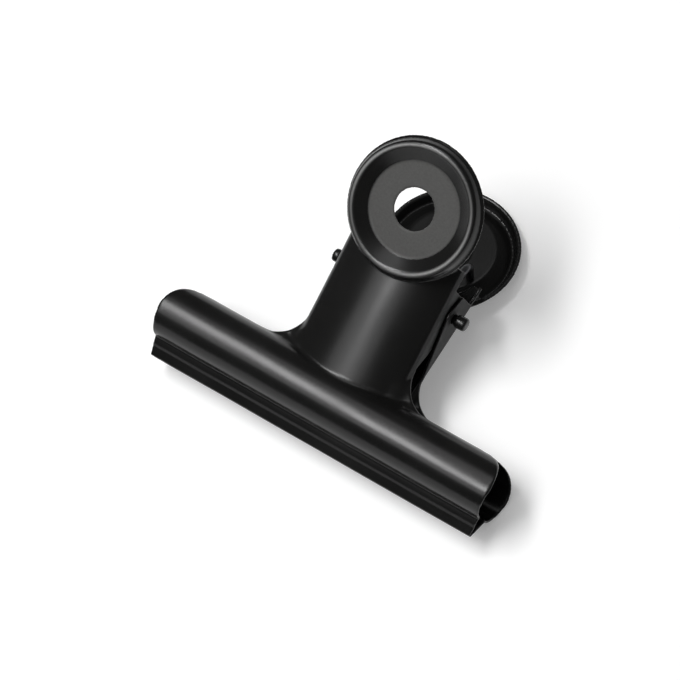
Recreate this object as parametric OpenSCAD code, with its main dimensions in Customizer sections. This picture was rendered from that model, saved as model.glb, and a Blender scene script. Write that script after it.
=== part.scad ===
// Bulldog clip: two pressed steel plates hinged on a pin and held shut by a wound spring.
// The clip lies on its rear plate. X runs along the jaws, Y from the jaws to the grips.

/* [Sheet] */
// Width of the jaws across their rolled ends
jaw_w = 76; // [56:1:90]
// Thickness of the sheet steel
sheet_t = 0.6; // [0.4:0.05:0.8]

/* [Jaw] */
// Clearance from each lip to the middle plane
lip_gap = 0.1; // [0.05:0.05:0.4]
// How far each lip corner sits in from the rolled end
lip_inset = 0.9; // [0.2:0.1:2]
// Height of the flat lip band
lip_band_h = 1.8; // [1.2:0.1:2.2]
// How far the lip band leans out over its height
lip_lean = 0.8; // [0.4:0.1:1]
// Height of the small step above the lip band
lip_step_h = 0.6; // [0.4:0.1:0.8]
// How far that step stands out
lip_step_out = 0.5; // [0.3:0.1:0.6]
// Angle by which the roll reaches back over the step
roll_under = 3; // [0:1:6]
// Height of the widest point of the roll
roll_h = 9.1; // [8.8:0.1:9.6]
// Depth of the roll from the middle plane to its widest point
roll_out = 8; // [7.6:0.1:8.6]
// Radius of the underside of the roll
roll_low_r = 5.4; // [5:0.1:5.6]
// Radius of the upper side of the roll
roll_top_r = 6.3; // [6:0.1:6.6]
// Angle by which the roll curls past its top
roll_curl = 6; // [2:1:10]
// Radius of the blank at the upper ends of the roll
jaw_corner_r = 10.6; // [10.6:0.1:14]

/* [Neck] */
// Width of the front neck, which sits between the rear ears
neck_w = 24.2; // [20:0.1:25]
// Radius of the bulge across the neck
neck_r = 22; // [20:0.5:28]
// Outer radius of the bend from the neck into an ear
neck_bend_r = 2.2; // [1.4:0.1:2.6]
// Lean of the neck away from the middle plane
neck_tilt = 9.8; // [9:0.1:11]
// Depth of the neck from the middle plane, level with the pin
neck_out = 9.7; // [9.4:0.1:10]
// Radius of the corners between the neck and the jaw
corner_r = 5; // [3.5:0.5:6]
// Depth of the web that fills those corners
web_out = 2.6; // [2.4:0.1:2.9]

/* [Ears] */
// Clearance between a front ear and a rear ear
ear_clear = 0.1; // [0.05:0.05:0.3]
// How far below the pin the foot of an ear lies
ear_foot_drop = 12.2; // [11:0.2:13.6]
// How far above the pin the top edge of an ear lies
ear_top_rise = 4.4; // [3.8:0.1:4.8]
// How far the top corner of an ear reaches past the middle plane
ear_tip_past = 1.5; // [0.5:0.1:2]
// Radius of an ear round the pin
ear_lobe_r = 3.4; // [2.8:0.1:3.6]

/* [Grip] */
// Depth of the middle of the grip from the middle plane
grip_out = 15.9; // [15.6:0.1:16.4]
// Height of the middle of the grip
grip_h = 47.8; // [47.5:0.1:48.2]
// Lean of the grip away from the middle plane
grip_tilt = 20.3; // [19:0.1:22]
// Diameter of the flat disc
disc_d = 18.2; // [17.6:0.1:19]
// Diameter of the hanging hole
hole_d = 8.1; // [5:0.1:9]
// Width from the edge of the disc out to the crest of the bead
bead_rise_w = 3.15; // [3:0.05:3.3]
// Width from the crest of the bead out to its foot
bead_fall_w = 1.1; // [1:0.05:1.2]
// Width of the flat flange outside the bead
flange_w = 0.7; // [0.4:0.1:1.2]
// Height of the bead over the disc
bead_h = 1.8; // [1.4:0.1:2.2]
// Outer radius of the bead's crest
bead_r = 0.95; // [0.85:0.05:1]
// How far the flange lies below the disc
flange_drop = 0.3; // [0:0.1:0.5]
// Height of the wall that joins the flange to the neck
collar_h = 7; // [6:0.5:8]

/* [Pin] */
// Height of the pin above the lips
pin_h = 34.7; // [34.3:0.1:35]
// Diameter of the pin
pin_d = 2; // [1.6:0.1:2.4]
// Running clearance round the pin
pin_clear = 0.06; // [0.03:0.01:0.1]
// Diameter of the upset heads of the pin
pin_head_d = 2.7; // [2.6:0.1:3.2]
// Length of the right head
pin_head_l = 2.3; // [1.4:0.1:3]
// Length of the left head, which is upset last and shorter
pin_tail_l = 1.5; // [1:0.1:2.3]
// Length of bare pin between a rear ear and a head
pin_neck_l = 0.6; // [0.3:0.1:1.2]
// Chamfer at the end of a head
pin_chamfer = 0.25; // [0.1:0.05:0.4]

/* [Spring] */
// Diameter of the spring wire
wire_d = 1.6; // [1.2:0.1:1.7]
// Radius of the coil at the middle of the wire
coil_r = 3.3; // [2.8:0.1:3.6]
// Whole turns of the coil, before the part turn between its arms
coil_turns = 6; // [4:1:6]
// Gap from one turn of the coil to the next
coil_gap = 0.55; // [0.45:0.05:0.6]
// How far below the middle of the grip each arm presses
arm_drop = 3.5; // [2:0.5:4.5]
// Length of the bent end of an arm
arm_reach = 4.4; // [4.2:0.1:5]
// Radius of the bend in an arm
arm_bend_r = 2; // [1.6:0.1:2]
// Clearance from the end of an arm to the grip
arm_clear = 0.15; // [0.1:0.05:0.3]

/* [Hidden] */
$fn = 96;
over = 1; // overrun of every cut
enamel = "#24241f";
steel = "#7d7f82";

// A path is a list of points, and its left side is the inside of the sheet.
function arc(c, r, from, to, steps) =
    [for (i = [0:steps])
        let (a = from + (to - from) * i / steps)
        c + r * [cos(a), sin(a)]];
function unit(v) = v / norm(v);
function left(v) = [-v[1], v[0]];
function reversed(path) = [for (i = [len(path) - 1:-1:0]) path[i]];
function mirrored(path) = [for (p = reversed(path)) [-p[0], p[1]]];
function without_first(path) = [for (i = [1:len(path) - 1]) path[i]];
function moved_in(path, d) =
    [for (i = [0:len(path) - 1])
        let (last = len(path) - 1,
             before = left(unit(i == 0 ? path[1] - path[0] : path[i] - path[i - 1])),
             after = left(unit(i == last ? path[i] - path[i - 1] : path[i + 1] - path[i])),
             middle = unit(before + after))
        path[i] + d / (middle * after) * middle];
function sheet(path) = concat(path, reversed(moved_in(path, sheet_t)));
// Where a line from p touches a circle, on the side that turn gives
function touch(p, c, r, turn) =
    let (a = atan2(p[1] - c[1], p[0] - c[0]) + turn * acos(r / norm(p - c)))
    c + r * [cos(a), sin(a)];
// Points along the round that replaces the corner b between a and c
function rounded(a, b, c, r, steps) =
    let (in = unit(a - b), out = unit(c - b), half = acos(in * out) / 2,
         hub = b + r / sin(half) * unit(in + out),
         from = b + r / tan(half) * in - hub, to = b + r / tan(half) * out - hub,
         sweep = 180 - 2 * half)
    [for (i = [0:steps])
        let (f = i / steps)
        hub + r * unit(from * sin((1 - f) * sweep) + to * sin(f * sweep))];

// Outlines drawn as width and height, or as depth and height, stood upright
module along_x(l) rotate([90, 0, 90]) linear_extrude(l, center = true) children();
module along_y(l) rotate([90, 0, 0]) linear_extrude(l, center = true) children();

// Side view of the jaw, as depth and height, from the lip up and over the roll
roll_low_c = [roll_out - roll_low_r, roll_h];
roll_top_c = [roll_out - roll_top_r, roll_h];
roll_top_h = roll_h + roll_top_r;
lip_angle = atan2(lip_lean, lip_band_h);
lip_out = lip_gap + sheet_t * cos(lip_angle);
roll_steps = 13;
jaw_path = concat(
    [[lip_out, 0],
     [lip_out + lip_lean, lip_band_h],
     [lip_out + lip_lean + lip_step_out, lip_band_h + lip_step_h]],
    arc(roll_low_c, roll_low_r, -90 - roll_under, 0, roll_steps),
    without_first(arc(roll_top_c, roll_top_r, 0, 90 + roll_curl, roll_steps)));

// Front view of the jaw: the lips are a little narrower than the roll, whose upper
// corners show the round corners of the blank before it was curled
function end_inset(turn) =
    let (run = roll_top_r * turn * PI / 180)
    jaw_corner_r - sqrt(pow(jaw_corner_r, 2) - pow(run, 2));
end_steps = 9;
end_top = [for (i = [1:end_steps])
    let (turn = 90 * i / end_steps)
    [jaw_w / 2 - end_inset(turn), roll_h + roll_top_r * sin(turn)]];
jaw_end = concat(
    [[jaw_w / 2 - lip_inset, -over], [jaw_w / 2 - lip_inset, 0], [jaw_w / 2, roll_h]],
    end_top,
    [[end_top[end_steps - 1][0], roll_top_h + over]]);

module jaw() intersection() {
    along_x(jaw_w + over) polygon(sheet(jaw_path));
    along_y(roll_out * 4) polygon(concat(jaw_end, mirrored(jaw_end)));
}

// The room inside the roll, cleared of everything that reaches into it
module jaw_room() along_x(jaw_w) polygon(
    concat(moved_in(jaw_path, sheet_t), [[-over, roll_top_h], [-over, 0]]));

// Section of the neck as width and depth, measured from its crown. It is bulged across
// the front and bent back at both sides into the ears.
bend_steps = 8;
crown_steps = 7;
ear_reach = neck_out + ear_lobe_r * 2;
function bend_c(half) =
    let (x = half - neck_bend_r)
    [x, sqrt(pow(neck_r - neck_bend_r, 2) - pow(x, 2)) - neck_r];
function neck_side(half) =
    let (c = bend_c(half), a = atan2(c[1] + neck_r, c[0]))
    concat(
        [[half, -ear_reach]],
        arc(c, neck_bend_r, 0, a, bend_steps),
        without_first(arc([0, -neck_r], neck_r, a, 90, crown_steps)));
function neck_path(half) = concat(neck_side(half), without_first(mirrored(neck_side(half))));

neck_foot_share = 0.88; // of the way from the pin down to the roll's widest point
neck_head_share = 0.58; // of the way from the pin up to the middle of the grip
neck_foot_l = (pin_h - roll_h) * neck_foot_share;
neck_head_l = (grip_h - pin_h) * neck_head_share;
module along_neck()
    translate([0, neck_out, pin_h])
    rotate([-neck_tilt, 0, 0])
    translate([0, 0, -neck_foot_l])
    linear_extrude(neck_foot_l + neck_head_l) children();

// Side view of what is kept of the neck: its front all the way up, and the ears
function ear_root(half, h) =
    neck_out + (h - pin_h) * tan(neck_tilt) + bend_c(half)[1] / cos(neck_tilt) - sheet_t / 2;
pin_c = [0, pin_h];
ear_foot_h = pin_h - ear_foot_drop;
ear_top_h = pin_h + ear_top_rise;
module ear_outline(half) {
    foot = [ear_root(half, ear_foot_h), ear_foot_h];
    tip = [-ear_tip_past, ear_top_h];
    polygon([
        [ear_root(half, 0), 0],
        foot,
        touch(foot, pin_c, ear_lobe_r, -1),
        touch(tip, pin_c, ear_lobe_r, 1),
        tip,
        [ear_root(half, ear_top_h), ear_top_h],
        [ear_root(half, grip_h), grip_h],
        [grip_out * 2, grip_h],
        [grip_out * 2, 0]]);
    translate(pin_c) circle(ear_lobe_r);
}

// Flat web in each corner between the neck and the top of the roll
module corner_webs(half)
    translate([0, web_out - sheet_t / 2, 0])
    along_y(sheet_t)
    for (side = [0, 1])
        mirror([side, 0])
        difference() {
            translate([half - sheet_t / 2, roll_top_h - over])
                square([corner_r, corner_r + over - sheet_t / 4]);
            translate([half + corner_r, roll_top_h + corner_r - sheet_t / 4]) circle(corner_r);
        }

// Half section of the grip as radius and height, from its flange in to the hole
bead_d = disc_d + bead_rise_w * 2;
bead_foot_d = bead_d + bead_fall_w * 2;
grip_d = bead_foot_d + flange_w * 2;
bead_c = [bead_d / 2, bead_h - bead_r];
bead_steps = 10;
bead_outer = touch([bead_foot_d / 2, -flange_drop], bead_c, bead_r, 1);
bead_inner = touch([disc_d / 2, 0], bead_c, bead_r, -1);
function angle_from(c, p) = atan2(p[1] - c[1], p[0] - c[0]);
grip_path = concat(
    [[grip_d / 2, -flange_drop], [bead_foot_d / 2, -flange_drop]],
    arc(bead_c, bead_r, angle_from(bead_c, bead_outer), angle_from(bead_c, bead_inner), bead_steps),
    [[disc_d / 2, 0], [hole_d / 2, 0]]);

// The grip's own frame: its middle at zero and its outer side up
module at_grip() translate([0, grip_out, grip_h]) rotate([-90 - grip_tilt, 0, 0]) children();

module grip() at_grip() rotate_extrude() polygon(sheet(grip_path));

// Wall that joins the grip's flange to the neck below it
collar_r = bead_foot_d / 2;
module collar(half) intersection() {
    at_grip()
        translate([0, 0, -collar_h])
        difference() {
            cylinder(h = collar_h - flange_drop - sheet_t / 2, r = collar_r);
            translate([0, 0, -over]) cylinder(h = collar_h + over * 2, r = collar_r - sheet_t);
        }
    along_neck() polygon(concat(
        [[half, grip_out], [-half, grip_out], [-half, -ear_reach]],
        reversed(moved_in(neck_path(half), sheet_t)),
        [[half, -ear_reach]]));
}

// One plate, with its middle plane at zero depth and its lips at zero height
module plate(half) difference() {
    union() {
        difference() {
            jaw();
            along_neck() polygon(moved_in(neck_path(half), sheet_t));
        }
        difference() {
            intersection() {
                along_neck() polygon(sheet(neck_path(half)));
                along_x(jaw_w) ear_outline(half);
            }
            jaw_room();
            at_grip() translate([0, 0, -grip_d]) cylinder(h = grip_d * 2, r = collar_r - sheet_t);
        }
        difference() {
            corner_webs(half);
            jaw_room();
        }
        collar(half);
        grip();
    }
    translate([0, 0, pin_h])
        rotate([0, 90, 0])
        cylinder(h = jaw_w, d = pin_d + pin_clear * 2, center = true);
}

// The clip lies on the roll and the bead of its rear plate
bead_top = [
    grip_out + bead_d / 2 * sin(grip_tilt) + bead_c[1] * cos(grip_tilt),
    grip_h + bead_d / 2 * cos(grip_tilt) - bead_c[1] * sin(grip_tilt)];
rest_span = bead_top - roll_top_c;
rest_lean = atan2(rest_span[0], rest_span[1]) - asin((roll_top_r - bead_r) / norm(rest_span));
rest_h = roll_top_c[0] * cos(rest_lean) - roll_top_c[1] * sin(rest_lean) + roll_top_r;
flange_low = -flange_drop - sheet_t;
flange_top = [
    grip_out + grip_d / 2 * sin(grip_tilt) + flange_low * cos(grip_tilt),
    grip_h + grip_d / 2 * cos(grip_tilt) - flange_low * sin(grip_tilt)];
reach_top = flange_top[0] * sin(rest_lean) + flange_top[1] * cos(rest_lean);
reach_low = -lip_out * sin(rest_lean);
module at_rest()
    translate([0, -(reach_top + reach_low) / 2, rest_h])
    rotate([rest_lean - 90, 0, 0])
    children();

front_half = neck_w / 2;
rear_half = front_half + ear_clear + sheet_t;

module front_plate() color(enamel) at_rest() rotate([0, 0, 180]) plate(front_half);

module rear_plate() color(enamel) at_rest() plate(rear_half);

// Pin with a chamfered head upset on each end
head_start = rear_half + pin_neck_l;
module pin_head(side, l) rotate([0, side, 0]) translate([0, 0, head_start]) {
    cylinder(h = l - pin_chamfer, d = pin_head_d);
    translate([0, 0, l - pin_chamfer])
        cylinder(h = pin_chamfer, d1 = pin_head_d, d2 = pin_head_d - pin_chamfer * 2);
}
module hinge_pin() color(enamel) at_rest() translate([0, 0, pin_h]) {
    rotate([0, 90, 0]) cylinder(h = head_start * 2, d = pin_d, center = true);
    pin_head(90, pin_head_l);
    pin_head(-90, pin_tail_l);
}

// Arm of the spring as depth and height: up from the coil, then square to the grip's back
grip_out_way = [cos(grip_tilt), -sin(grip_tilt)];
grip_up_way = [sin(grip_tilt), cos(grip_tilt)];
arm_end = [grip_out, grip_h] - arm_drop * grip_up_way - (sheet_t + arm_clear) * grip_out_way;
arm_corner = arm_end - arm_reach * grip_out_way;
arm_foot = touch(arm_corner, pin_c, coil_r, -1);
arm_steps = 5;
arm_path = concat(rounded(arm_foot, arm_corner, arm_end, arm_bend_r, arm_steps), [arm_end]);

// Coil from the front arm's foot round to the rear arm's foot
rings_per_turn = 8;
wire_sides = 6;
coil_pitch = wire_d + coil_gap;
foot_angle = angle_from(pin_c, arm_foot);
coil_sweep = 360 * coil_turns + 180 + 2 * foot_angle;
coil_half = coil_pitch * coil_sweep / 720;
coil_rings = ceil(rings_per_turn * coil_sweep / 360);
wire_path = concat(
    [for (p = reversed(arm_path)) [-coil_half, -p[0], p[1]]],
    [for (i = [0:coil_rings])
        let (a = 180 - foot_angle + coil_sweep * i / coil_rings)
        [coil_half * (2 * i / coil_rings - 1), coil_r * cos(a), pin_h + coil_r * sin(a)]],
    [for (p = arm_path) [coil_half, p[0], p[1]]]);
wire_last = len(wire_path) - 1;
function heading(i) =
    i == 0 ? unit(wire_path[1] - wire_path[0])
    : i == wire_last ? unit(wire_path[i] - wire_path[i - 1])
    : unit(unit(wire_path[i] - wire_path[i - 1]) + unit(wire_path[i + 1] - wire_path[i]));
wire_rings = [for (i = [0:wire_last])
    let (way = heading(i), across = unit(cross([1, 0, 0], way)), up = cross(way, across))
    [for (k = [0:wire_sides - 1])
        let (a = 360 * k / wire_sides)
        wire_path[i] + wire_d / 2 * (across * cos(a) + up * sin(a))]];
wire_points = [for (ring = wire_rings) each ring];
wire_faces = concat(
    [for (k = [1:wire_sides - 2]) [0, k, k + 1]],
    [for (i = [0:wire_last - 1], k = [0:wire_sides - 1])
        let (a = i * wire_sides + k, b = i * wire_sides + (k + 1) % wire_sides)
        each [[a, a + wire_sides, b], [b, a + wire_sides, b + wire_sides]]],
    [for (k = [1:wire_sides - 2])
        let (first = wire_last * wire_sides)
        [first, first + k + 1, first + k]]);
apart = rings_per_turn - 2;
wire_gap = min([for (i = [0:wire_last - apart], j = [i + apart:wire_last])
    norm(wire_path[i] - wire_path[j])]) - wire_d;
echo(str("least gap of the spring to itself in mm: ", wire_gap));

module torsion_spring() color(steel) at_rest() polyhedron(wire_points, wire_faces);

front_plate();
rear_plate();
hinge_pin();
torsion_spring();
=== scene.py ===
import math
import bpy
import bmesh
import numpy as np
from mathutils import Matrix, Vector


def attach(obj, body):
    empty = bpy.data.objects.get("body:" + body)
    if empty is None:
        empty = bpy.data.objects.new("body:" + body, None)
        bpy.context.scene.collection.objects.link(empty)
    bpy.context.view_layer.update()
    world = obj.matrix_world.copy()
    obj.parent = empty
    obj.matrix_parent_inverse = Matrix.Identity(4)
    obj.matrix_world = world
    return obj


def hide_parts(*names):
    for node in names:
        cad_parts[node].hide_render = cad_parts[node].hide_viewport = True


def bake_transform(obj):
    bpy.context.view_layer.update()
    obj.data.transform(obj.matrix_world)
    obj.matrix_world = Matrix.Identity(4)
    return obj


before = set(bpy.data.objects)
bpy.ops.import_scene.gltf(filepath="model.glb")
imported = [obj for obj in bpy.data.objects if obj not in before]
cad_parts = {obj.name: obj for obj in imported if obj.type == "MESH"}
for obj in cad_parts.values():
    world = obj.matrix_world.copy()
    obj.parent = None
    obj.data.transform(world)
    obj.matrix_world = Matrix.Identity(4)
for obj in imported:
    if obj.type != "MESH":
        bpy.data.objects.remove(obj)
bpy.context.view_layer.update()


# Front plate: one blank of 0.6 mm mild steel. Its jaw is rolled, its neck bulged and bent back
# into two ears, and its grip dished with a bead round it. It is dipped in black enamel and baked,
# so every sheet edge and crease carries a small soft round of enamel.
sheet = 0.6                         # mm, as are all the sizes of the pressings
half_sheet = sheet / 2
grain = 0.24                        # one cell of the space that a plate is pressed in
lean = math.radians(15.353036)      # the clip lies back by this angle on its rear plate
lying = (-32.103777, 5.529963)      # and is moved by this much, along the table and up
pin_h = 34.7                        # height of the pin in the upright clip


def row_place(x, depth, height):
    """A point of the upright clip, in mm, where it lies on its rear plate, in metres."""
    along = depth * math.sin(lean) + height * math.cos(lean) + lying[0]
    up = -depth * math.cos(lean) + height * math.sin(lean) + lying[1]
    return np.stack((np.broadcast_to(x, np.shape(height)), along, up), -1) / 1000


def swept(centre, radius, start, end, steps):
    """Points along an arc of the sheet's middle line."""
    turn = np.radians(np.linspace(start, end, steps + 1))
    return [(centre[0] + radius * math.cos(t), centre[1] + radius * math.sin(t)) for t in turn]


def eased(line, spread):
    """The same line as the press leaves it, with a small round at each bend."""
    stride = 0.06
    line = np.array(line)
    along = np.concatenate(([0], np.cumsum(np.linalg.norm(np.diff(line, axis=0), axis=1))))
    even = np.arange(0, along[-1], stride)
    line = np.stack([np.interp(even, along, line[:, k]) for k in (0, 1)], axis=1)
    reach = int(3 * spread / stride)
    weight = np.exp(-0.5 * (np.arange(-reach, reach + 1) * stride / spread) ** 2)
    padded = np.concatenate((
        line[0] + (line[0] - line[1]) * np.arange(reach, 0, -1)[:, None],
        line,
        line[-1] + (line[-1] - line[-2]) * np.arange(1, reach + 1)[:, None]))
    return np.stack([np.convolve(padded[:, k], weight / weight.sum(), "valid")
                     for k in (0, 1)], axis=1)


def off_line(line, u, v, closed=False):
    """How far each point (u, v) lies off a bent line, and below zero inside a closed one."""
    u, v = np.broadcast_arrays(np.float32(u), np.float32(v))
    near = np.full(u.shape, 1e9, np.float32)
    within = np.zeros(u.shape, bool)
    ends = list(zip(line, line[1:]))
    if closed:
        ends.append((line[-1], line[0]))
    for (au, av), (bu, bv) in ends:
        run = (bu - au) ** 2 + (bv - av) ** 2
        if run == 0:
            continue
        share = np.clip(((u - au) * (bu - au) + (v - av) * (bv - av)) / run, 0, 1)
        gap = (u - au - share * (bu - au)) ** 2 + (v - av - share * (bv - av)) ** 2
        near = np.minimum(near, gap)
        if closed and av != bv:
            crossing = (av > v) != (bv > v)
            within ^= crossing & (u < au + (v - av) / (bv - av) * (bu - au))
    near = np.sqrt(near)
    return np.where(within, -near, near) if closed else near


class Chart:
    """Distances of a section worked out once on a fine grid, then read off anywhere."""

    def __init__(self, line, low, high, step, closed=False):
        self.low, self.step = low, step
        u = np.arange(low[0], high[0] + step, step)[:, None]
        v = np.arange(low[1], high[1] + step, step)[None, :]
        self.table = off_line(line, u, v, closed).astype(np.float32)

    def read(self, u, v):
        rows, columns = self.table.shape
        u = np.clip((u - self.low[0]) / self.step, 0, rows - 1.001)
        v = np.clip((v - self.low[1]) / self.step, 0, columns - 1.001)
        a, b = u.astype(np.int32), v.astype(np.int32)
        u, v = u - a, v - b
        t = self.table
        return ((1 - u) * ((1 - v) * t[a, b] + v * t[a, b + 1])
                + u * ((1 - v) * t[a + 1, b] + v * t[a + 1, b + 1]))


def joined(one, two, fillet):
    """Two forms as one, with a fillet in the crease between them."""
    blend = np.maximum(fillet - np.abs(one - two), 0)
    return np.minimum(one, two) - blend * blend / (4 * fillet)


def trimmed(form, cutter, soft=0.22):
    """What the form and the cutter share, with a small round along the sheared edge."""
    return -joined(-form, -cutter, soft)


def shared(*forms):
    """What all the forms share, with sharp edges."""
    space = forms[0]
    for form in forms[1:]:
        space = np.maximum(space, form)
    return space


# the jaw in side view: a leaning lip band, a small step, and the roll curled over it
lip_gap = 0.1                       # half the gap between the two lips
lip_run = np.array((0.8, 1.8))      # depth and height of the lip band
lip_step = (1.83, 2.62)             # where the step over the lip band ends
roll_h = 9.1                        # height of the roll's middle
roll_low, roll_low_r = (2.6, roll_h), 5.4
roll_top, roll_top_r = (1.7, roll_h), 6.3
lip_lean = math.atan2(*lip_run)
lip = np.array((lip_gap + sheet * math.cos(lip_lean), 0))
inward = np.array((-math.cos(lip_lean), math.sin(lip_lean))) * half_sheet
jaw_line = eased(
    [tuple(lip + inward - lip_run * 0.5), tuple(lip + inward + lip_run * 0.94), lip_step]
    + swept(roll_low, roll_low_r - half_sheet, -93, 0, 60)
    + swept(roll_top, roll_top_r - half_sheet, 0, 93.5, 60)[1:], 0.13)
jaw_inner = (
    [(-1, 0), tuple(lip + inward * 2), tuple(lip + inward * 2 + lip_run)]
    + swept(roll_low, roll_low_r - sheet, -88, 0, 60)
    + swept(roll_top, roll_top_r - sheet, 0, 96, 60)[1:]
    + [(-1, 15.4)])
jaw_half = 38                       # half the jaw's width
lip_short = 0.9                     # the lip stops this far short of it on each side
corner_r = 10.6                     # round of the blank's corner, on top of the roll


def jaw_reach(height):
    """Half the width of the jaw at each height, from the lip to the round corners of the roll."""
    turn = np.arcsin(np.clip((height - roll_h) / roll_top_r, 0, 1))
    drawn_in = corner_r - np.sqrt(corner_r ** 2 - (roll_top_r * turn) ** 2)
    cut_back = lip_short * (1 - np.clip(height, 0, roll_h) / roll_h)
    return np.where(height < roll_h, jaw_half - cut_back, jaw_half - drawn_in)


# the grip as radius and height: flange, bead, wall of the dish and flat disc round the hole
grip_lean = math.radians(20.3)
grip_middle = (15.9, 47.8)          # its depth and height in the upright clip
flange_r, disc_r, hole_r = 14.05, 9.28, 4.05
flange_z, disc_z = -0.6, -0.3
bead, bead_r = (12.25, 0.85), 0.65
bead_foot = (13.35, flange_z)


def leaves(point, turn):
    """The angle at which a straight wall from a point meets the round of the bead."""
    out, up = point[0] - bead[0], point[1] - bead[1]
    return math.degrees(math.atan2(up, out) + turn * math.acos(bead_r / math.hypot(out, up)))


grip_line = eased(
    [(flange_r, flange_z), bead_foot]
    + swept(bead, bead_r, leaves(bead_foot, 1), leaves((disc_r, disc_z), -1) + 360, 40)
    + [(disc_r, disc_z), (3.2, disc_z)], 0.12)
grip_chart = Chart(grip_line, (0, -8), (18, 4), 0.05)


def off_grip(depth, height):
    """How far a point lies up the grip's disc from its middle, and how far out of its face."""
    out, up = depth - grip_middle[0], height - grip_middle[1]
    return (out * math.sin(grip_lean) + up * math.cos(grip_lean),
            out * math.cos(grip_lean) - up * math.sin(grip_lean))


# the neck leans out from the roll to the grip, and an ear is bent back from each side of it
neck_lean = math.radians(9.8)
neck_out = 9.7                      # how far the crown of its bulge stands before the pin
neck_r, bend_r, ear_reach = 22, 2.2, 16.5
neck_top, neck_foot = 7.6, -22.5    # its two ends, measured along it from the pin
neck_clear = 12.75                  # it stops at this radius under the grip
ear_foot_h, ear_tip = 22.5, (-1.5, 39.1)
lobe_r, pin_hole_r = 3.4, 1.06      # the round end of an ear about the pin, and its hole
collar_r, collar_low = 13.05, -7    # the wall between the neck and the grip's flange
collar_in = 1.2                     # it stops this far inside the neck's sides
web_r, web_foot, web_low = 7.0, 15.25, 14.4
web_depth = 2.3


def pressing(half):
    """The space of one plate, as the distance to its surface, on x from the middle outwards."""
    hub_x = half - bend_r
    hub_y = math.sqrt((neck_r - bend_r) ** 2 - hub_x ** 2) - neck_r
    spread = math.degrees(math.atan2(hub_y + neck_r, hub_x))
    side = ([(half - half_sheet, -ear_reach)]
            + swept((hub_x, hub_y), bend_r - half_sheet, 0, spread, 16)
            + swept((0, -neck_r), neck_r - half_sheet, spread, 90, 40)[1:])
    section = side + [(-u, v) for u, v in reversed(side)][1:]
    neck_chart = Chart(section, (0, -18), (18, 12), 0.08, closed=True)

    # a grid a little larger than the right half of the plate
    x = np.arange(0, 38.8, grain, dtype=np.float32)[:, None, None]
    depth = np.arange(-4.2, 23.2, grain, dtype=np.float32)[None, :, None]
    height = np.arange(-0.8, 62.2, grain, dtype=np.float32)[None, None, :]
    empty = 4
    plate = np.full((x.size, depth.size, height.size), empty, np.float32)
    low = slice(0, int((height < 17.5).sum()))      # the cells that the jaw can reach
    near = slice(0, int((x < 21).sum()))            # the cells that the neck and grip can reach

    neck_y = (depth - neck_out) * math.cos(neck_lean) - (height - pin_h) * math.sin(neck_lean)
    neck_z = (depth - neck_out) * math.sin(neck_lean) + (height - pin_h) * math.cos(neck_lean)
    section_off = neck_chart.read(x[near], neck_y)
    inside_neck = section_off + half_sheet
    grip_v, grip_z = off_grip(depth, height)
    across = np.sqrt(x[near] ** 2 + grip_v ** 2)

    # jaw, opened where the neck stands on it
    jaw_h = height[:, :, low]
    jaw = trimmed(off_line(jaw_line, depth, jaw_h) - half_sheet, -jaw_h)
    jaw = trimmed(jaw, x - jaw_reach(jaw_h))
    room = off_line(jaw_inner, depth, jaw_h, closed=True)
    plate[:, :, low] = jaw
    opening = shared(inside_neck[:, :, low], neck_foot - neck_z[:, :, low])
    plate[near, :, low] = trimmed(jaw[near], -opening, 0.1)

    # neck and ears, trimmed to the outline of the blank and cut away under the grip
    def root(h):
        """Depth at which an ear runs into its bend."""
        return (neck_out + (h - pin_h) * math.tan(neck_lean) + hub_y / math.cos(neck_lean)
                - half_sheet)

    def tangent(p, turn):
        """Where a line from p touches the lobe round the pin."""
        away = math.hypot(p[0], p[1] - pin_h)
        t = math.atan2(p[1] - pin_h, p[0]) + turn * math.acos(lobe_r / away)
        return (lobe_r * math.cos(t), pin_h + lobe_r * math.sin(t))

    foot, top, back = (root(ear_foot_h), ear_foot_h), grip_middle[1], 31.8
    outline = off_line(
        [(root(0), 0), foot, tangent(foot, -1), tangent(ear_tip, 1), ear_tip,
         (root(ear_tip[1]), ear_tip[1]), (root(top), top), (back, top), (back, 0)],
        depth, height, closed=True)
    off_pin = np.hypot(depth, height - pin_h)
    neck = trimmed(np.abs(section_off) - half_sheet, np.minimum(outline, off_pin - lobe_r))
    neck = trimmed(neck, neck_z - neck_top)
    neck = shared(neck, neck_foot - neck_z, neck_clear - across)
    neck[:, :, low] = shared(neck[:, :, low], -room)
    plate[near] = joined(plate[near], neck, 0.7)

    # flat webs that fill the corners between the neck and the roll, and run out into both
    web_top = web_foot + web_r
    web = shared(np.abs(depth - web_depth) - half_sheet,
                 np.abs(x[near] - half - web_r / 2 + 0.2) - web_r / 2 - 0.1,
                 web_low - height, height - web_top)
    web = trimmed(web, web_r - np.hypot(x[near] - half - web_r, height - web_top))
    web[:, :, low] = shared(web[:, :, low], -room)
    crease = 0.4 + 2 * (np.clip((web_top - 1.5 - height) / 3, 0, 1)
                        * np.clip((half + web_r - 2 - x[near]) / 3, 0, 1))
    plate[near] = joined(plate[near], web, crease)

    # wall that carries the grip's flange on the neck, then the grip itself
    collar = shared(np.abs(across - collar_r) - half_sheet, collar_low - grip_z, grip_z - flange_z,
                    -inside_neck, x[near] - half + collar_in, np.abs(neck_z + 7.5) - 15.1)
    plate[near] = joined(plate[near], collar, 0.5)
    grip = grip_chart.read(across, grip_z) - half_sheet
    grip = trimmed(grip, shared(across - flange_r, hole_r - across), 0.4)
    plate[near] = joined(plate[near], grip, 0.4)

    # running hole for the pin
    plate[near] = trimmed(plate[near], pin_hole_r - off_pin, 0.08)
    return np.concatenate((plate[:0:-1], plate)), (-x[-1, 0, 0], depth[0, 0, 0], height[0, 0, 0])


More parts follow.
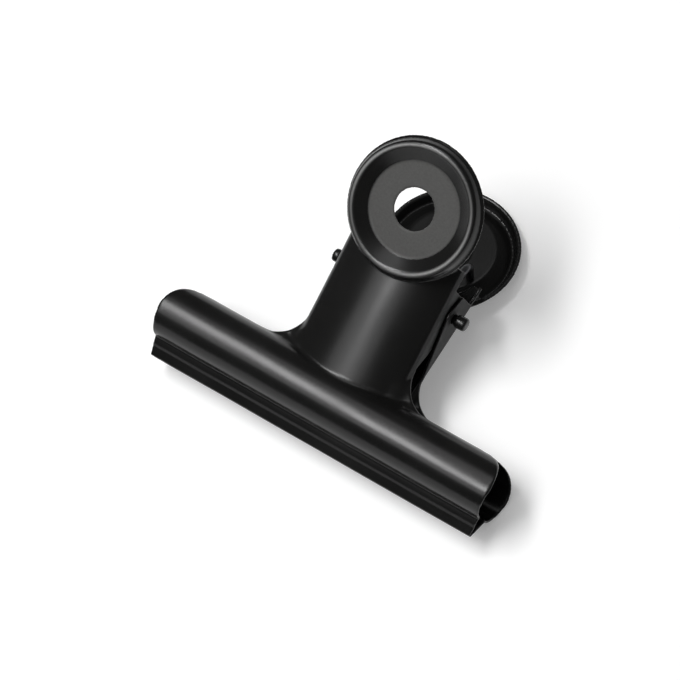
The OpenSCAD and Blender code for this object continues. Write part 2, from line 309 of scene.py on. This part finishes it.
def skinned(space, corner):
    """Quads over the surface of a space, one point to each cell that the surface crosses."""
    solid = space < 0
    count = np.zeros(tuple(n - 1 for n in space.shape), np.uint8)
    steps = [(a, b, c) for a in (0, 1) for b in (0, 1) for c in (0, 1)]
    n0, n1, n2 = count.shape
    for a, b, c in steps:
        count += solid[a:a + n0, b:b + n1, c:c + n2]
    cells = np.argwhere((count > 0) & (count < len(steps)))
    number = np.full(count.shape, -1, np.int32)
    number[tuple(cells.T)] = np.arange(len(cells))
    total = np.zeros((len(cells), 3))
    hits = np.zeros(len(cells))
    for start in steps:
        for axis in range(3):
            if start[axis]:
                continue
            end = tuple(v + (k == axis) for k, v in enumerate(start))
            one = space[tuple((cells + start).T)]
            two = space[tuple((cells + end).T)]
            cross = (one < 0) != (two < 0)
            share = np.where(cross, one / np.where(cross, one - two, 1), 0)
            spot = np.array(start, float) + share[:, None] * (np.arange(3) == axis)
            total += np.where(cross[:, None], spot, 0)
            hits += cross
    points = (cells + total / hits[:, None]) * grain + np.array(corner)
    quads = []
    for axis in range(3):
        b, c = (axis + 1) % 3, (axis + 2) % 3
        one = np.take(solid, np.arange(solid.shape[axis] - 1), axis)
        two = np.take(solid, np.arange(1, solid.shape[axis]), axis)
        spots = np.argwhere(one != two)
        spots = spots[(spots[:, b] > 0) & (spots[:, c] > 0)]
        outward = one[tuple(spots.T)]
        around = []
        for db, dc in ((-1, -1), (0, -1), (0, 0), (-1, 0)):
            cell = spots.copy()
            cell[:, b] += db
            cell[:, c] += dc
            around.append(number[tuple(cell.T)])
        ring = np.stack(around, axis=1)
        quads.append(np.where(outward[:, None], ring, ring[:, ::-1]))
    return points, np.concatenate(quads)


def settled(mesh, passes):
    """Lets the wet coat flow: small steps level out, the broad shape stays."""
    count = len(mesh.vertices)
    spots = np.empty(count * 3)
    mesh.vertices.foreach_get("co", spots)
    spots = spots.reshape(-1, 3)
    edges = np.empty(len(mesh.edges) * 2, dtype=np.int64)
    mesh.edges.foreach_get("vertices", edges)
    one, two = edges.reshape(-1, 2).T
    neighbours = np.bincount(np.concatenate((one, two)), minlength=count)[:, None]
    for _ in range(passes):
        for push in (0.5, -0.52):
            around = np.stack([
                np.bincount(one, spots[two, k], count) + np.bincount(two, spots[one, k], count)
                for k in range(3)], axis=1)
            spots += push * (around / neighbours - spots)
    mesh.vertices.foreach_set("co", spots.ravel())
    mesh.update()


def laid_out(name, mesh, material):
    """The mesh as a smooth object of the scene, in its finish."""
    mesh.materials.append(material)
    mesh.polygons.foreach_set("use_smooth", [True] * len(mesh.polygons))
    piece = bpy.data.objects.new(name, mesh)
    bpy.context.collection.objects.link(piece)
    return piece


def enamelled_plate(name, half, facing):
    """One plate, pressed, dipped and baked; facing is -1 for the front one and 1 for the rear."""
    points, quads = skinned(*pressing(half))
    turned_round = np.array((facing, facing, 1))
    mesh = bpy.data.meshes.new(name)
    mesh.vertices.add(len(points))
    mesh.vertices.foreach_set("co", (points * turned_round).ravel())
    mesh.loops.add(quads.size)
    mesh.loops.foreach_set("vertex_index", quads.ravel())
    mesh.polygons.add(len(quads))
    mesh.polygons.foreach_set("loop_start", np.arange(len(quads)) * 4)
    mesh.update(calc_edges=True)
    settled(mesh, 7)
    spots, out = (np.empty(len(mesh.vertices) * 3) for _ in range(2))
    mesh.vertices.foreach_get("co", spots)
    mesh.vertices.foreach_get("normal", out)
    spots, out = spots.reshape(-1, 3), out.reshape(-1, 3)
    x, depth, height = (spots * turned_round).T

    # pressed sheet is never quite fair: it dips by a few hundredths between its bends
    dips = (np.sin(x / 5.1 + 1.3 * facing) * np.sin(height / 4.3 + x / 17 + 0.6)
            + np.sin(x / 2.9 - height / 6.1 + 2.0) * 0.4)
    spots -= out * (0.022 * (dips + 1.4))[:, None]
    mesh.vertices.foreach_set("co", row_place(*spots.T).ravel())

    # painted highlight: a pale line painted along the crest of the bead, stronger on the two sides
    # of the round where the light catches it
    # the flat disc with the foot of its wall is matt, and painted grey there as a painted sheen;
    # the flats of the ears are dull, worn by the hinge
    grip_v, above = off_grip(depth, height)
    across = np.hypot(x, grip_v)
    on_crest = np.exp(-((across - bead[0]) / 0.26) ** 2) * (above > 1.2)
    painted_crest_highlight = on_crest * (0.62 + 0.38 * np.cos(2 * np.arctan2(grip_v, x) - 1.4))
    matt_r = 9.42
    matt_and_sheen = np.clip((matt_r - across) / 0.2, 0, 1) * (above > -0.25) * (height > 30)
    dull = np.clip((np.abs(out[:, 0]) - 0.8) / 0.15, 0, 1) * (depth < 9) * (height > 17)
    for word, amount in (("painted_crest_highlight", painted_crest_highlight), ("matt_and_sheen", matt_and_sheen), ("dull", dull)):
        finish = mesh.attributes.new(word, "FLOAT", "POINT")
        finish.data.foreach_set("value", amount.astype(np.float32))
    mesh.update()
    return laid_out(name, mesh, black_enamel)


def knob(material, kind, **values):
    """A new node of a material, with its sockets or settings filled in."""
    node = material.node_tree.nodes.new(kind)
    for key, value in values.items():
        if key in node.inputs:
            node.inputs[key].default_value = value
        else:
            setattr(node, key, value)
    return node


def mixed(material, share, one, two):
    """The socket of a mix of two colours or two numbers, each plain or from a socket."""
    plain = isinstance(two, float)
    low, high, result = (2, 3, 0) if plain else (6, 7, 2)
    node = knob(material, "ShaderNodeMix", data_type="FLOAT" if plain else "RGBA")
    links = material.node_tree.links
    links.new(share, node.inputs[0])
    for place, value in ((low, one), (high, two)):
        if isinstance(value, (float, tuple)):
            node.inputs[place].default_value = value
        else:
            links.new(value, node.inputs[place])
    return node.outputs[result]


def grained(material, scale, detail):
    """The socket of a noise laid through the piece."""
    place = knob(material, "ShaderNodeTexCoord")
    noise = knob(material, "ShaderNodeTexNoise", Scale=scale, Detail=detail)
    material.node_tree.links.new(place.outputs["Object"], noise.inputs["Vector"])
    return noise.outputs["Fac"]


def ranged(material, value, low, high, start=0.0, end=1.0):
    """The socket of a value spread from one range over another."""
    node = knob(material, "ShaderNodeMapRange")
    for word, amount in (("From Min", start), ("From Max", end),
                         ("To Min", low), ("To Max", high)):
        node.inputs[word].default_value = amount
    material.node_tree.links.new(value, node.inputs["Value"])
    return node.outputs["Result"]


def roughened(material, height, strength, distance):
    """The socket of a normal with a fine relief."""
    node = knob(material, "ShaderNodeBump", Strength=strength, Distance=distance)
    material.node_tree.links.new(height, node.inputs["Height"])
    return node.outputs["Normal"]


def part_of(material, word):
    """The socket of one of the plate's own finishes."""
    return knob(material, "ShaderNodeAttribute", attribute_name=word).outputs["Fac"]


black_enamel = bpy.data.materials.new("black_enamel_baked")
black_enamel.use_nodes = True
wires = black_enamel.node_tree.links
paint = black_enamel.node_tree.nodes["Principled BSDF"]
paint.inputs["Specular IOR Level"].default_value = 0.3
# the black drifts a little, is painted paler along the bead's crest as a highlight and greyer on
# the matt disc as a painted sheen
drift = grained(black_enamel, 90.0, 3.0)
speck = grained(black_enamel, 2600.0, 2.0)
black = mixed(black_enamel, drift, (0.0045, 0.0045, 0.0044, 1), (0.0080, 0.0080, 0.0078, 1))
# painted highlight: the crest of the bead pales to a light grey line where it catches the light
crest_highlight_colour = mixed(black_enamel, part_of(black_enamel, "painted_crest_highlight"), black, (0.28, 0.28, 0.277, 1))
# painted sheen: the flat disc is painted grey for the light it catches; its matt coat is real
disc_painted_sheen = mixed(black_enamel, speck, (0.046, 0.046, 0.0445, 1), (0.078, 0.077, 0.0745, 1))
matt_and_sheen_share = part_of(black_enamel, "matt_and_sheen")
whole_colour = mixed(black_enamel, matt_and_sheen_share, crest_highlight_colour, disc_painted_sheen)
wires.new(whole_colour, paint.inputs["Base Color"])
# the gloss drifts where the coat lies thicker or thinner; the disc and the ears have lost it
gloss = ranged(black_enamel, drift, 0.20, 0.27, 0.3, 0.7)
rough = mixed(black_enamel, matt_and_sheen_share, gloss, 0.55)
rough = mixed(black_enamel, part_of(black_enamel, "dull"), rough, 0.6)
wires.new(rough, paint.inputs["Roughness"])
# orange peel of the baked coat
peel = grained(black_enamel, 900.0, 2.0)
wires.new(roughened(black_enamel, peel, 0.12, 0.00002), paint.inputs["Normal"])

front = enamelled_plate("front_pressing", 12.1, -1)
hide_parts("front_plate")
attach(front, "front_half")

# Rear plate: the same blank with a neck one sheet wider, so that its ears close over the front
# ears on the pin. It is dipped and baked in the same enamel.
rear = enamelled_plate("rear_pressing", 12.8, 1)
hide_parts("rear_plate")
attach(rear, "rear_half")

# Hinge pin: a 2 mm steel pin that runs through all four ears and the spring. A head is upset
# cold on each end, which leaves it slightly barrelled and domed, and it is enamelled too. The
# left head is upset last and comes out 0.8 mm shorter.
pin_middle = Vector((0, 0.001357875, 0.014717336))
pin_head = [
    (0, 1.0), (13.2, 1.0), (13.4, 1.1), (13.42, 1.24), (13.55, 1.31), (13.85, 1.345), (14.4, 1.35),
    (15.0, 1.345), (15.3, 1.31), (15.5, 1.22), (15.62, 1.04), (15.68, 0.7), (15.7, 0)]
pin_tail = [(l if l < 14 else l - 0.8, r) for l, r in pin_head if not 13.9 < l < 14.9]


def from_form(name, form, material):
    """The finished form as a piece of the scene."""
    bmesh.ops.recalc_face_normals(form, faces=form.faces)
    mesh = bpy.data.meshes.new(name)
    form.to_mesh(mesh)
    form.free()
    return laid_out(name, mesh, material)


def turned(name, left, right, sides, material):
    """A round piece along X from two half profiles of (length, radius) in mm."""
    form = bmesh.new()
    rings = []
    for length, radius in [(-l, r) for l, r in reversed(left[1:])] + right[1:]:
        around = [math.tau * k / sides for k in range(sides)] if radius else [0]
        rings.append([
            form.verts.new((length / 1000, radius / 1000 * math.cos(t),
                            radius / 1000 * math.sin(t)))
            for t in around])
    for low, high in zip(rings, rings[1:]):
        for k in range(sides):
            ring = [low[k % len(low)], low[(k + 1) % len(low)],
                    high[(k + 1) % len(high)], high[k % len(high)]]
            form.faces.new(list(dict.fromkeys(ring)))
    return from_form(name, form, material)


pin = turned("pin_headed", pin_tail, pin_head, 40, black_enamel)
pin.location = pin_middle
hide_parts("hinge_pin")
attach(pin, "rear_half")

# Spring: 1.6 mm oil-tempered wire, dark from its heat treatment, wound in a little over six turns
# round the pin. An arm leaves each end of the coil and bends over to press on the back of a grip.
wire_r, coil_r, pitch = 0.8, 3.3, 2.15
arm_down, arm_behind, arm_stand, arm_bend = 3.5, 0.75, 4.4, 2.0
grip_sin, grip_cos = math.sin(grip_lean), math.cos(grip_lean)
arm_end = (grip_middle[0] - arm_down * grip_sin - arm_behind * grip_cos,
           grip_middle[1] - arm_down * grip_cos + arm_behind * grip_sin)
arm_corner = (arm_end[0] - arm_stand * grip_cos, arm_end[1] + arm_stand * grip_sin)
# the arm leaves the coil along a tangent from its corner
corner_up = arm_corner[1] - pin_h
leave = (math.atan2(corner_up, arm_corner[0])
         - math.acos(coil_r / math.hypot(arm_corner[0], corner_up)))
sweep = math.radians(360 * 6 + 180) + 2 * leave
coil_half = pitch * sweep / math.tau / 2


def arm_line():
    """Depth and height of an arm from the coil to its end, with a rounded bend."""
    start = np.array((coil_r * math.cos(leave), pin_h + coil_r * math.sin(leave)))
    into = np.subtract(start, arm_corner)
    out = np.subtract(arm_end, arm_corner)
    into, out = into / np.linalg.norm(into), out / np.linalg.norm(out)
    half = math.acos(float(into @ out)) / 2
    cut = arm_bend / math.tan(half)
    hub = (np.array(arm_corner)
           + arm_bend / math.sin(half) * (into + out) / np.linalg.norm(into + out))
    first = np.array(arm_corner) + cut * into
    last = np.array(arm_corner) + cut * out
    line = [start + (first - start) * k / 6 for k in range(1, 6)]
    spread = math.pi - 2 * half
    for f in (k / 12 for k in range(13)):
        line.append(hub + ((first - hub) * math.sin((1 - f) * spread)
                           + (last - hub) * math.sin(f * spread)) / math.sin(spread))
    line += [last + (np.array(arm_end) - last) * k / 4 for k in range(1, 5)]
    return line


arm = arm_line()
coil_steps = 26 * 7
route = [Vector(row_place(-coil_half, -depth, height)) for depth, height in reversed(arm)]
for k in range(coil_steps + 1):
    t = math.pi - leave + sweep * k / coil_steps
    route.append(Vector(row_place(coil_half * (2 * k / coil_steps - 1), coil_r * math.cos(t),
                                  pin_h + coil_r * math.sin(t))))
route += [Vector(row_place(coil_half, depth, height)) for depth, height in arm]


def wire(name, route, radius, sides, material):
    """A round wire along a route, its ends sheared square with a small round at the rim."""
    form = bmesh.new()
    start, end = (route[1] - route[0]).normalized(), (route[-1] - route[-2]).normalized()
    rim = radius * 0.12
    stations = [(route[0], start, radius * 0.55), (route[0], start, radius - rim),
                (route[0] + start * rim, start, radius)]
    for before, here, after in zip(route, route[1:], route[2:]):
        way = (after - here).normalized() + (here - before).normalized()
        stations.append((here, way.normalized(), radius))
    stations += [(route[-1] - end * rim, end, radius), (route[-1], end, radius - rim),
                 (route[-1], end, radius * 0.55)]
    rings = []
    for place, way, size in stations:
        across = Vector((1, 0, 0)).cross(way).normalized()
        up = way.cross(across)
        rings.append([form.verts.new(place + size * (across * math.cos(t) + up * math.sin(t)))
                      for t in (math.tau * k / sides for k in range(sides))])
    for low, high in zip(rings, rings[1:]):
        for k in range(sides):
            form.faces.new([low[k], low[(k + 1) % sides], high[(k + 1) % sides], high[k]])
    form.faces.new(rings[0])
    form.faces.new(list(reversed(rings[-1])))
    return from_form(name, form, material)


spring_steel = bpy.data.materials.new("spring_wire_drawn")
spring_steel.use_nodes = True
wires = spring_steel.node_tree.links
metal = spring_steel.node_tree.nodes["Principled BSDF"]
metal.inputs["Metallic"].default_value = 1.0
draw_marks = grained(spring_steel, 700.0, 4.0)
wires.new(mixed(spring_steel, draw_marks, (0.075, 0.075, 0.08, 1), (0.12, 0.12, 0.125, 1)),
          metal.inputs["Base Color"])
wires.new(ranged(spring_steel, draw_marks, 0.32, 0.46), metal.inputs["Roughness"])
wires.new(roughened(spring_steel, draw_marks, 0.2, 0.00001), metal.inputs["Normal"])

spring = wire("spring_wound", route, wire_r / 1000, 20, spring_steel)
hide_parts("torsion_spring")
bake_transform(spring)

# Table and backdrop: a pale matt sheet of paper. The camera sees it white, and so do the enamel
# and the wire that mirror it, and the clip's shadow stays on it.
floor_mesh = bpy.data.meshes.new("floor")
floor_mesh.from_pydata([(-3, -3, 0), (3, -3, 0), (3, 3, 0), (-3, 3, 0)], [], [(0, 1, 2, 3)])
floor = bpy.data.objects.new("floor", floor_mesh)
floor.location.z = -0.0002
bpy.context.collection.objects.link(floor)
paper = bpy.data.materials.new("pale_paper")
paper.use_nodes = True
wires = paper.node_tree.links
leaf = paper.node_tree.nodes["Principled BSDF"]
leaf.inputs["Base Color"].default_value = (0.86, 0.86, 0.86, 1)
leaf.inputs["Roughness"].default_value = 0.9
leaf.inputs["Specular IOR Level"].default_value = 0.1
leaf.inputs["Emission Color"].default_value = (1, 1, 1, 1)
path = knob(paper, "ShaderNodeLightPath")
seen = knob(paper, "ShaderNodeMath", operation="MAXIMUM")
wires.new(path.outputs["Is Camera Ray"], seen.inputs[0])
wires.new(path.outputs["Is Glossy Ray"], seen.inputs[1])
seen_through = knob(paper, "ShaderNodeMath", operation="MAXIMUM")
wires.new(seen.outputs[0], seen_through.inputs[0])
wires.new(path.outputs["Is Transmission Ray"], seen_through.inputs[1])
lift = knob(paper, "ShaderNodeMath", operation="MULTIPLY")
lift.inputs[1].default_value = 0.24
wires.new(seen_through.outputs[0], lift.inputs[0])
wires.new(lift.outputs[0], leaf.inputs["Emission Strength"])
floor_mesh.materials.append(paper)

# Light: a plain studio. A long key softbox faces the clip from its left, with a weaker one above
# and one below it, and a wide dim panel behind them fills the rest.
centre = Vector((0, 0, 0.015))


def softbox(name, azimuth, elevation, away, width, depth, power):
    """Azimuth and elevation are those of the upright clip: 0, 0 is square on to its front."""
    a, e = math.radians(azimuth), math.radians(elevation)
    x, y, z = math.sin(a) * math.cos(e), -math.cos(a) * math.cos(e), math.sin(e)
    way = Vector((x, y * math.sin(lean) + z * math.cos(lean),
                  -y * math.cos(lean) + z * math.sin(lean)))
    lamp = bpy.data.lights.new(name, "AREA")
    lamp.shape = "RECTANGLE"
    lamp.size = width
    lamp.size_y = depth
    lamp.energy = power
    box = bpy.data.objects.new(name, lamp)
    box.location = centre + way * away
    box.rotation_euler = way.to_track_quat("Z", "Y").to_euler()
    bpy.context.collection.objects.link(box)


softbox("key_softbox", -19, 4, 0.9, 0.60, 0.16, 5.4)
softbox("top_softbox", -19, 30, 0.9, 0.60, 0.34, 0.9)
softbox("low_softbox", -15, -19, 0.9, 0.62, 0.34, 1.4)
softbox("wide_panel", -12, 6, 1.0, 1.2, 1.0, 1.6)

world = bpy.data.worlds.new("studio")
world.use_nodes = True
air = world.node_tree.nodes["Background"]
air.inputs["Color"].default_value = (1, 1, 1, 1)
air.inputs["Strength"].default_value = 0.1
bpy.context.scene.world = world

# Camera: where the photograph was taken from, about 0.6 m off, in front and above, with a long
# lens. It is tilted, so that the jaw runs down to the right.
camera_data = bpy.data.cameras.new("camera")
camera_data.lens = 172.3
camera_data.sensor_width = 36
camera_data.clip_start = 0.01
camera = bpy.data.objects.new("camera", camera_data)
camera_place = (0.19664217, -0.20673957, 0.57145922)
camera_right = Vector((0.82711071, 0.55195219, -0.10600307))
camera_up = Vector((-0.46081797, 0.77395686, 0.43432427))
camera_back = camera_right.cross(camera_up).normalized()
camera_up = camera_back.cross(camera_right).normalized()
turned_to = Matrix((camera_right.normalized(), camera_up, camera_back)).transposed()
camera.matrix_world = Matrix.Translation(camera_place) @ turned_to.to_4x4()
bpy.context.collection.objects.link(camera)
bpy.context.scene.camera = camera
bpy.context.scene.view_settings.view_transform = "Standard"
